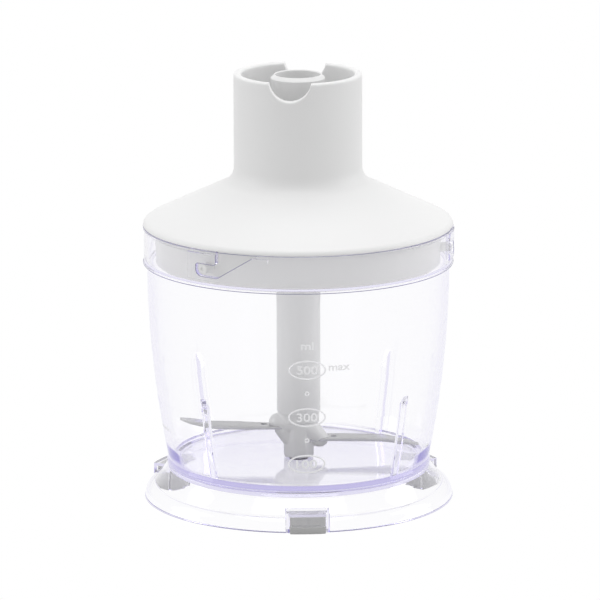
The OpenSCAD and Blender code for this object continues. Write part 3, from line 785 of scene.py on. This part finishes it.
stem_corner = STEM_HALF / math.cos(math.pi / 8)
stem = prism(ring_points(stem_corner, stem_corner, 8, 22.5), hub_low.z + 0.1 * MM, hub_high.z - 4 * MM,
             Matrix.Identity(4))
collar_disc = prism(ring_points(DISC_W, DISC_D, 48), hub_high.z - 4.5 * MM, hub_high.z - 0.1 * MM,
                    Matrix.Identity(4))
# Each wing runs from its root to its tip, as a centre and a reach along each axis at both ends, in mm.
left_wing = swell((-2, 0, 31.5), (5.6, 6.4, 4.9), (-8.7, 0, 32.3), (3.9, 4.6, 3.6))
left_root = swell((-5.8, 0, 29.0), (4.4, 4.8, 4.0), (-4.2, 0, 23.8), (2.4, 4.0, 2.6))
right_wing = swell((2.5, 0, 30.4), (5.6, 6.4, 4.6), (8.7, 0, 24.7), (3.9, 4.4, 3.6))


def skin(carrier):
    """Draws an even skin over everything inside and lets it flow a little."""
    even = carrier.modifiers.new("even_skin", "REMESH")
    even.mode = "VOXEL"
    even.voxel_size = 0.33 * MM
    flow = carrier.modifiers.new("flow", "SMOOTH")
    flow.factor = 0.5
    flow.iterations = 4


hub_mesh = applied("hub", as_mesh("hub", stem, collar_disc, *left_wing, *left_root, *right_wing), skin)
for v in hub_mesh.vertices:
    v.co.z = min(v.co.z, hub_high.z)
bore = as_mesh("bore", prism(ring_points(bore_r, bore_r, 64), hub_low.z - 1 * MM, hub_high.z + 1 * MM,
                             Matrix.Identity(4)))
hub_mesh = combined("hub_body", hub_mesh, "DIFFERENCE", bore)
piece("hub_body", closed_mesh(of_one(hub_mesh, grey_hub), math.radians(60)), "rotor", "grey_hub",
      "blade_hub")

# %% [markdown]
# Four upright ribs inside the bowl break the swirl, so that the food falls back onto the blades. Each is
# a slim closed solid that follows the wall, and sinks into the wall and the floor, so that a union has
# something to bite on. The wall's radius at each height is read off the bowl's outline.

# %% The bowl's wall and ribs
CLEAR_OF_RIBS = 20  # degrees from +X, where the bowl and the base have only their turned outline
bowl_line, bowl_closed = outline("bowl", CLEAR_OF_RIBS)
RIB_W, RIB_D, RIB_H = 3.0 * MM, 1.8 * MM, 37 * MM
RIB_FOOT = 0.5 * MM  # how deep a rib's foot is sunk in the floor
RIBS = (45, 135, 225, 315)  # degrees from the front
WALL = 2.2 * MM
floor_top = 17.0 * MM  # inside of the bowl's floor
WALL_FROM, WALL_TO = 30 * MM, 90 * MM  # between these heights the wall has no steps
bowl_low, bowl_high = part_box("bowl")
peak = max(range(len(bowl_line)), key=lambda i: bowl_line[i].y)
sides = [bowl_line[:peak + 1], bowl_line[peak:][::-1]]
outer_side = max(sides, key=lambda side: max(p.x for p in side if WALL_FROM < p.y < WALL_TO))
outer_side = sorted((p.y, p.x) for p in outer_side if p.y > bowl_low.z + 3 * MM)


def wall_r(z):
    """Outer radius of the bowl at a height."""
    return float(np.interp(z, [p[0] for p in outer_side], [p[1] for p in outer_side]))


def rib(degrees):
    """One upright rib with a slanted top and broken edges."""
    steps = [floor_top + RIB_H * k / 8 for k in range(9)]
    outer = [(wall_r(z) - WALL / 2, z) for z in [floor_top - RIB_FOOT] + steps]
    inner = [(wall_r(z) - WALL - RIB_D, z) for z in [floor_top - RIB_FOOT] + steps[:-1]]
    side = [(-r, z) for r, z in outer + inner[::-1]]
    upright = turned_to(degrees) @ Matrix(((0, 0, 1, 0), (1, 0, 0, 0), (0, 1, 0, 0), (0, 0, 0, 1)))
    bm = prism(side, -RIB_W / 2, RIB_W / 2, upright)
    soft = [e for e in bm.edges if e.calc_face_angle(0) > math.radians(30)]
    bmesh.ops.bevel(bm, geom=soft, offset=0.3 * MM, segments=1, affect="EDGES")
    return bm


print("the wall's radius at the floor is", round(wall_r(floor_top) / MM, 1), "mm")

# %% [markdown]
# The bowl's rim carries three bayonet tracks. A pin on the lid drops into the mouth, and as the lid turns
# it slides under a hanging tooth and rests in a pocket. The ramp from the mouth to the pocket pulls the
# lid down. A track is short beside the rim's radius, so it is drawn flat and pushed straight through.

# %% The bayonet tracks
PIN_R, PIN_DEPTH, TRACK_GAP = 2.2 * MM, 8.3 * MM, 0.7 * MM
LOCK_TURN, MOUTH_TURN = 7.0, 17.0  # in degrees
TOOTH_SHORT, MOUTH_FLARE = 0.7, 1.3  # in degrees
CHAMFER, CHAMFER_TURN = 0.6 * MM, 0.6  # the tooth's cut corners, down and in degrees across
TRACKS = (-41, 79, 199)  # degrees from the front
track_r = float(np.median([p[1] for p in outer_side if p[0] > bowl_high.z - 12 * MM]))
pin_deg = math.degrees(math.asin(PIN_R / track_r))
gap_deg = math.degrees(math.asin(TRACK_GAP / track_r))
track_left = -pin_deg - gap_deg
track_mid = (track_left + LOCK_TURN + MOUTH_TURN) / 2
tooth_right = LOCK_TURN - TOOTH_SHORT
ramp_right = tooth_right + MOUTH_TURN
track_low = PIN_DEPTH + PIN_R + TRACK_GAP
tooth_low = PIN_DEPTH - PIN_R - 0.3 * MM


def on_rim(degrees, depth):
    """A point on the plane that touches the rim at the middle of a track."""
    return track_r * math.sin(math.radians(degrees - track_mid)), -depth


def rim_prism(flat, degrees):
    """A prism that goes straight through the rim at one track."""
    place = turned_to(degrees + track_mid) @ Matrix.Translation((0, -track_r, bowl_high.z))
    return prism(flat, -5 * MM, 6 * MM, place @ Matrix.Rotation(math.pi / 2, 4, "X"))


pocket_x, pocket_y = on_rim(0, PIN_DEPTH)
pocket = [(pocket_x + (PIN_R + TRACK_GAP) * math.cos(a), pocket_y + (PIN_R + TRACK_GAP) * math.sin(a))
          for a in np.radians(np.linspace(270, 180, 9))]
slot_shape = pocket + [
    on_rim(track_left, tooth_low + CHAMFER), on_rim(track_left + CHAMFER_TURN, tooth_low),
    on_rim(tooth_right - CHAMFER_TURN, tooth_low), on_rim(tooth_right, tooth_low - CHAMFER),
    on_rim(tooth_right, -1 * MM), on_rim(ramp_right + MOUTH_FLARE, -1 * MM), on_rim(LOCK_TURN, track_low)]
print("a track has", len(slot_shape), "corners")

# %% [markdown]
# A raised pad stiffens the rim round each track. The pads are cut from a thin ring, so that they keep the
# rim's curve. Then the turned bowl gets its pads and ribs by union and its tracks by difference, and last
# a narrow bevel breaks the tracks' edges.

# %% The bowl
PAD = 1.5 * MM  # how far the pad reaches past the track
PAD_OUT, PAD_IN = 0.3 * MM, 1.2 * MM  # how far it stands out of the rim and in its wall
pad_left, pad_right = track_left - 4.2, ramp_right + 3.4
pad_shape = [
    on_rim(pad_left, PAD), on_rim(pad_left, track_low + PAD), on_rim(LOCK_TURN + 1, track_low + PAD),
    on_rim(pad_right, 2 * PAD), on_rim(pad_right, PAD)]
BOWL_STEPS = 240  # steps round the bowl and the base
bowl_mesh = turned("bowl_shell", soften(bowl_line, bowl_closed, 0.3 * MM, 3 * MM), bowl_closed, clear_bowl,
                   BOWL_STEPS)
pad_low, pad_high = bowl_high.z - 14.5 * MM, bowl_high.z - 1.6 * MM
pad_ring = [Vector((track_r - PAD_IN, pad_low)), Vector((track_r + PAD_OUT, pad_low)),
            Vector((track_r + PAD_OUT, pad_high)), Vector((track_r - PAD_IN, pad_high))]
pad_tube = turned("pad_ring", pad_ring, True, clear_bowl, BOWL_STEPS)
pad_cuts = as_mesh("pad_cuts", *(rim_prism(pad_shape, a) for a in TRACKS))
pads = combined("pads", pad_tube, "INTERSECT", pad_cuts)
bowl_mesh = combined("bowl_pads", bowl_mesh, "UNION", pads)
bowl_mesh = combined("bowl_ribs", bowl_mesh, "UNION", as_mesh("ribs", *(rib(a) for a in RIBS)))
bowl_mesh = combined("bowl_shell", bowl_mesh, "DIFFERENCE",
                     as_mesh("tracks", *(rim_prism(slot_shape, a) for a in TRACKS)))
BREAK = 0.22 * MM  # how far the tracks' edges are broken
TRACK_ZONE = 13 * MM  # how far down the rim they reach
bm = bmesh.new()
bm.from_mesh(bowl_mesh)
bmesh.ops.remove_doubles(bm, verts=bm.verts, dist=WELD)
lip = [e for e in bm.edges if len(e.link_faces) == 2 and e.calc_face_angle(0) > math.radians(50)
       and min(v.co.z for v in e.verts) > bowl_high.z - TRACK_ZONE and e.calc_length() > 0.2 * MM]
bmesh.ops.bevel(bm, geom=lip, offset=BREAK, segments=2, affect="EDGES", clamp_overlap=True)
bm.to_mesh(bowl_mesh)
bm.free()
piece("bowl_shell", closed_mesh(of_one(bowl_mesh, clear_bowl), math.radians(30)), "bowl", "clear_bowl",
      "bowl")

# %% [markdown]
# The anti-slip base is a shallow bell that clips under the bowl. Each rubber foot sits in a moulded
# pocket with its own thin wall, and its lip reaches below the base's edge to grip the table.

# %% The base
base_line, base_closed = outline("anti_slip_base", CLEAR_OF_RIBS)
base_mesh = turned("base_shell", soften(base_line, base_closed, 0.5 * MM, 3 * MM), base_closed, clear_base,
                   BOWL_STEPS)
foot_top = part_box("rubber_feet")[1].z
base_low, base_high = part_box("anti_slip_base")
base_r = (base_high.x - base_low.x) / 2
FOOT_W, FOOT_DEPTH, POCKET_WALL, LIP_H = 15 * MM, 7 * MM, 1.5 * MM, 3 * MM


def rounded_block(half, front, back, low, high, degrees, radius):
    """A box with its upright edges rounded, standing at a turn from the front."""
    corners = [(half - radius, -front + radius, -90), (half - radius, -back - radius, 0),
               (-half + radius, -back - radius, 90), (-half + radius, -front + radius, 180)]
    flat = [(x + radius * math.cos(math.radians(a + b)), y + radius * math.sin(math.radians(a + b)))
            for x, y, a in corners for b in (0, 30, 60, 90)]
    return prism(flat, low, high, turned_to(degrees))


FEET = (0, 120, 240)  # degrees from the front
FOOT_SIDE = 0.15 * MM  # room at each side of a foot
drop = base_low.z
frame_top = foot_top + POCKET_WALL
frames = as_mesh("frames", *(rounded_block(
    FOOT_W / 2 + POCKET_WALL, base_r + 1 * MM, base_r - FOOT_DEPTH - 2 * POCKET_WALL, drop + 0.05 * MM,
    frame_top, a, 1.2 * MM) for a in FEET))
keep_in = turned("keep_in", [Vector((0, drop - 1 * MM)), Vector((base_r - 0.06 * MM, drop - 1 * MM)),
                             Vector((base_r - 0.06 * MM, frame_top + 1 * MM)),
                             Vector((0, frame_top + 1 * MM))], False, clear_base, BOWL_STEPS)
frames = combined("frames", frames, "INTERSECT", keep_in)
base_mesh = combined("base_frames", base_mesh, "UNION", frames)
pockets = as_mesh("pockets", *(rounded_block(
    FOOT_W / 2 + FOOT_SIDE, base_r - POCKET_WALL, base_r - FOOT_DEPTH - POCKET_WALL, drop - 1 * MM,
    foot_top + 0.1 * MM, a, 0.5 * MM) for a in FEET))
gaps = as_mesh("gaps", *(rounded_block(
    FOOT_W / 2 + FOOT_SIDE, base_r + 3 * MM, base_r - POCKET_WALL - 2 * MM, drop - 1 * MM, LIP_H + drop, a,
    0.1 * MM) for a in FEET))
base_mesh = combined("base_pockets", base_mesh, "DIFFERENCE", pockets)
base_mesh = combined("base_shell", base_mesh, "DIFFERENCE", gaps)
piece("base_shell", closed_mesh(of_one(base_mesh, clear_base), math.radians(30)), "base", "clear_base",
      "anti_slip_base")

# %% [markdown]
# A raised line is a path with a small circle swept along it, which is a job for Geometry Nodes: the same
# tree serves every line. A Curve object with a bevel depth would do too, but its points would have to be
# set one by one.

# %% Geometry Nodes: a raised line
bead_tree, given = new_tree("raised_line", {"Radius": "NodeSocketFloat", "Material": "NodeSocketMaterial"})
bead_circle = add_node(bead_tree, "GeometryNodeCurvePrimitiveCircle", Resolution=8, Radius=given["Radius"])
bead_path = add_node(bead_tree, "GeometryNodeMeshToCurve", Mesh=given["Geometry"])
bead = add_node(bead_tree, "GeometryNodeCurveToMesh", Curve=bead_path.outputs[0],
                Profile_Curve=bead_circle.outputs[0], Fill_Caps=True)
end_tree(bead_tree, bead.outputs[0], given["Material"])


def bead_along(name, points, closed, radius, material):
    """A thin round bead along points in space."""
    path = bpy.data.meshes.new(name + "_path")
    count = len(points)
    path.from_pydata(points, [(i, (i + 1) % count) for i in range(count if closed else count - 1)], [])
    return grown(name, path, bead_tree, Radius=radius, Material=material)


def gathered(name, meshes, material):
    """One mesh from several, all of one material."""
    whole = bmesh.new()
    for mesh in meshes:
        whole.from_mesh(mesh)
    made = bpy.data.meshes.new(name)
    whole.to_mesh(made)
    whole.free()
    return of_one(made, material)


print("raised_line has", len(bead_tree.nodes), "nodes")

# %% [markdown]
# The measuring marks are raised lines on the bowl's wall, moulded from the same plastic but matt, with a
# faint painted glow. Their ovals are beads wrapped round the wall. The figures are plain text, made into a
# mesh and wrapped in the same way.


# %% Measuring marks
def on_wall(across, height, out):
    """A point on the bowl's front, across and up along its wall, and out from it."""
    r = wall_r(height)
    return Vector(((r + out) * math.sin(across / r), -(r + out) * math.cos(across / r), height))


def wall_bead(name, points, radius):
    """A closed bead along points given as (across, height) on the wall."""
    return bead_along(name, [on_wall(x, z, 0.05 * MM) for x, z in points], True, radius, clear_mark)


def wall_text(name, words, across, height, wide, tall):
    """Raised figures of a given width and height, centred at a place on the wall."""
    face, root = 0.24 * MM, -0.12 * MM
    curve = bpy.data.curves.new(name, "FONT")
    curve.body = words
    curve.align_x = "CENTER"
    curve.extrude = 0.05
    curve.offset = 0.012
    carrier = bpy.data.objects.new(name, curve)
    bpy.context.scene.collection.objects.link(carrier)
    view = bpy.context.evaluated_depsgraph_get()
    mesh = bpy.data.meshes.new_from_object(carrier.evaluated_get(view), depsgraph=view)
    bpy.data.objects.remove(carrier)
    spots = np.array([v.co for v in mesh.vertices])
    low, high = spots.min(axis=0), spots.max(axis=0)
    for v in mesh.vertices:
        x, y, z = (np.array(v.co) - (low + high) / 2) / (high - low)
        v.co = on_wall(across + x * wide, height + y * tall, face if z > 0 else root)
    return of_one(mesh, clear_mark)


def oval(height, wide, tall, steps):
    """Points round an oval on the bowl's front."""
    return [(math.cos(a) * wide / 2, height + math.sin(a) * tall / 2)
            for a in np.linspace(0, 2 * math.pi, steps + 1)[:-1]]


OVAL_W, OVAL_H = 15.0 * MM, 7.6 * MM
FIGURE_W, FIGURE_H = 8.6 * MM, 3.7 * MM
LINE_R = 0.34 * MM
DOT, DOT_R = 1.6 * MM, 0.25 * MM
LOWEST_MARK, MARK_STEP = 27.9 * MM, 20.6 * MM
marks = []
for amount, steps in (("500", 2), ("300", 1), ("100", 0)):
    height = LOWEST_MARK + steps * MARK_STEP
    marks.append(wall_bead("oval_" + amount, oval(height, OVAL_W, OVAL_H, 48), LINE_R))
    marks.append(wall_text("figure_" + amount, amount, 0, height, FIGURE_W, FIGURE_H))
marks.append(wall_text("unit", "ml", 0, 79.5 * MM, 5.2 * MM, 3.4 * MM))
marks.append(wall_text("upper_limit", "max", 13.4 * MM, 69.6 * MM, 9.0 * MM, 2.3 * MM))
for height in (58.9 * MM, 38.4 * MM):  # a dot about half way between two marks
    marks.append(wall_bead("dot", oval(height, DOT, DOT, 12), DOT_R))
mark_mesh = gathered("measuring_marks", marks, clear_mark)
piece("measuring_marks", closed_mesh(mark_mesh, math.radians(40)), "bowl", "clear_bowl")

# %% [markdown]
# Clear plastic pipes light to its edges and looks dark violet there. That shade is painted here: the lines
# are far thinner than a wall, so each is a fine bead of violet plastic laid just under the edge, round the
# top of the rim, along the foot of its band and round the three tracks.

# %% Violet edges, painted shade
EDGE_R, TRACK_EDGE_R = 0.12 * MM, 0.13 * MM
MOUTH_TOP = 1.2 * MM  # a track's line stops this far below the rim


def round_bead(name, radius, height, thick):
    """A bead along a level circle."""
    around = [(radius * math.cos(a), radius * math.sin(a), height)
              for a in np.linspace(0, 2 * math.pi, 241)[:-1]]
    return bead_along(name, around, True, thick, clear_edge)


def track_bead(name, degrees, thick):
    """A bead along the outline of one track, on the rim's outer face, open at the mouth."""
    start, end, ramp_foot = slot_shape[-3:]
    corners = [end, ramp_foot] + slot_shape[:-3] + [start]
    spots = []
    for p, q in zip(corners, corners[1:]):
        steps = max(1, round(math.dist(p, q) / (0.8 * MM)))
        spots += [Vector(p).lerp(Vector(q), k / steps) for k in range(steps)]
    spots = [spot for spot in spots + [Vector(corners[-1])] if spot.y < -MOUTH_TOP]
    mid = math.radians(degrees + track_mid)
    r = track_r + EDGE_R
    line = []
    for spot in spots:
        a = math.asin(spot.x / track_r) + mid
        line.append((r * math.sin(a), -r * math.cos(a), bowl_high.z + spot.y))
    return bead_along(name, line, False, thick, clear_edge)


rim_top_r = (bowl_high.x - bowl_low.x) / 2
band_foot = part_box("lid_skirt")[0].z - 0.1 * MM
beads = [round_bead("rim_line", rim_top_r - 0.35 * MM, bowl_high.z - 0.4 * MM, EDGE_R),
         round_bead("band_line", track_r - 0.15 * MM, band_foot + 0.35 * MM, EDGE_R)]
beads += [track_bead("track_line", a, TRACK_EDGE_R) for a in TRACKS]
# These beads are painted shade along the clear edges, not a real coloured part.
bead_mesh = gathered("violet_edges", beads, clear_edge)
piece("violet_edges", closed_mesh(bead_mesh, math.radians(50)), "bowl", "clear_bowl")

# %% [markdown]
# The floor is a plain white table. The camera, clear plastic and mirrors see it as evenly lit white, as it
# would look over a light box, and matt surfaces get its light as from white paint.

# %% Floor
floor_finish = Finish("white_table", Roughness=0.9, Specular_IOR_Level=0.0)
floor_finish.feed("Base Color", floor_finish.tint(floor_finish.noise(0.05), (0.79,) * 3, (0.81,) * 3))
table = floor_finish.tree
table_path = add_node(table, "ShaderNodeLightPath")
lit = Value(table, table_path.outputs["Is Camera Ray"])
for kind in ("Is Transmission Ray", "Is Glossy Ray"):
    lit = lit.math("MAXIMUM", lit, Value(table, table_path.outputs[kind]))
glow = add_node(table, "ShaderNodeEmission", Color=(1, 1, 1, 1), Strength=1.0)
both = add_node(table, "ShaderNodeMixShader", n0=lit, n1=floor_finish.shader.outputs[0], n2=glow.outputs[0])
table.links.new(both.outputs[0], floor_finish.output.inputs["Surface"])
FLOOR_HALF = 6.0
FLOOR_DROP = 0.2 * MM  # keeps it clear of the feet
floor_mesh = bpy.data.meshes.new("table_top")
floor_mesh.from_pydata(
    [(x, y, -FLOOR_DROP) for x, y in ((-FLOOR_HALF, -FLOOR_HALF), (FLOOR_HALF, -FLOOR_HALF),
                                  (FLOOR_HALF, FLOOR_HALF), (-FLOOR_HALF, FLOOR_HALF))],
    [], [(0, 1, 2, 3)])
floor_mesh.materials.append(floor_finish.material)
table_top = bpy.data.objects.new("table_top", floor_mesh)
bpy.context.scene.collection.objects.link(table_top)
table_top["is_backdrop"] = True

# %% [markdown]
# The gearbox and the other inner parts keep their CAD shapes, since they are plain turned and toothed
# parts. Each gets the finish of its material slot.

# %% Materials of the CAD parts that are shown as they are
CAD_FINISH = {
    "steel_shaft": steel_shaft, "seal_rubber": seal_rubber, "bronze_bush": bronze_bush,
    "gear_plastic": gear_plastic, "inner_plastic": inner_plastic, "grey_hub": grey_hub,
    "white_shell": white_shell, "white_skirt": white_skirt, "grey_column": grey_column}
slot_of = {part["node"]: part["material_slot"] for part in frame["record"]["subparts"]}
for name, node in frame["nodes"].items():
    if not node.hide_render:
        for place in node.material_slots:
            place.material = CAD_FINISH[slot_of[name]]

# %% [markdown]
# The visual model is meant to keep the CAD model's outer size, so the difference of the two boxes is
# printed.

view_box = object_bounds()
grown_by = [round((a - b) / MM, 2) for a, b in zip((*view_box[0], *view_box[1]), (*cad_box[0], *cad_box[1]))]
print("the box moved by", grown_by, "mm")
